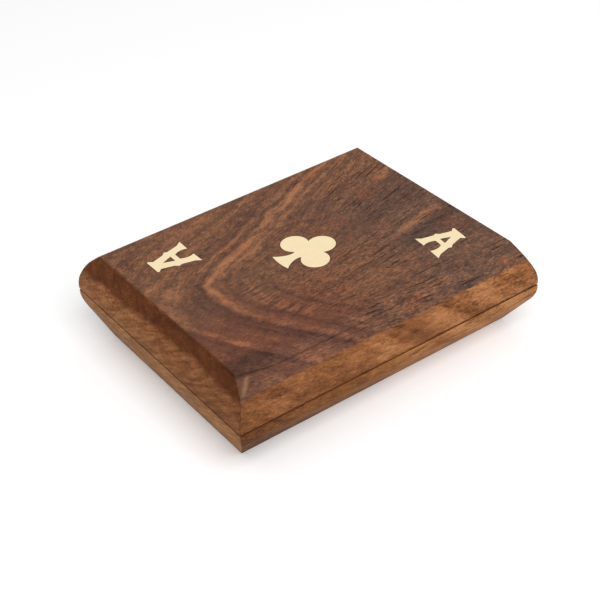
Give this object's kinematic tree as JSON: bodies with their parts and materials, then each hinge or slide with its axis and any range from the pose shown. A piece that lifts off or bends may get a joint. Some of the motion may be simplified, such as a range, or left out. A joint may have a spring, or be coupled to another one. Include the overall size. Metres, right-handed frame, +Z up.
{
  "type": "playing card box",
  "caption": "Low wooden card box with rounded edges, a hinged lid inlaid with a pale club and ace letters, and deck wells parted by a divider.",
  "frame": {"origin": "middle of the bottom face that the box stands on", "axes": "+X along the box, +Y from the front to the hinged back, +Z up"},
  "size_m": [0.145, 0.1221, 0.04],
  "materials": {
    "rosewood": "satin varnish over figured brown rosewood",
    "inlay_brass": "pale brass, sanded flush, satin",
    "hinge_brass": "satin brass",
    "screw_brass": "satin brass"
  },
  "bodies": {
    "base": {"base_block": "rosewood", "centre_divider": "rosewood", "left_hinge_base_leaf": "hinge_brass", "right_hinge_base_leaf": "hinge_brass", "left_hinge_pin": "hinge_brass", "right_hinge_pin": "hinge_brass", "base_hinge_screws": "screw_brass"},
    "lid": {"lid_block": "rosewood", "club_inlay": "inlay_brass", "left_ace_inlay": "inlay_brass", "right_ace_inlay": "inlay_brass", "left_hinge_lid_leaf": "hinge_brass", "right_hinge_lid_leaf": "hinge_brass", "lid_hinge_screws": "screw_brass"}
  },
  "joints": [
    {"name": "lid_hinge", "type": "hinge", "parent": "base", "child": "lid", "pos_m": [0, 0.0604, 0.021], "axis": [-1, 0, 0], "range_deg": [0, 180]}
  ]
}
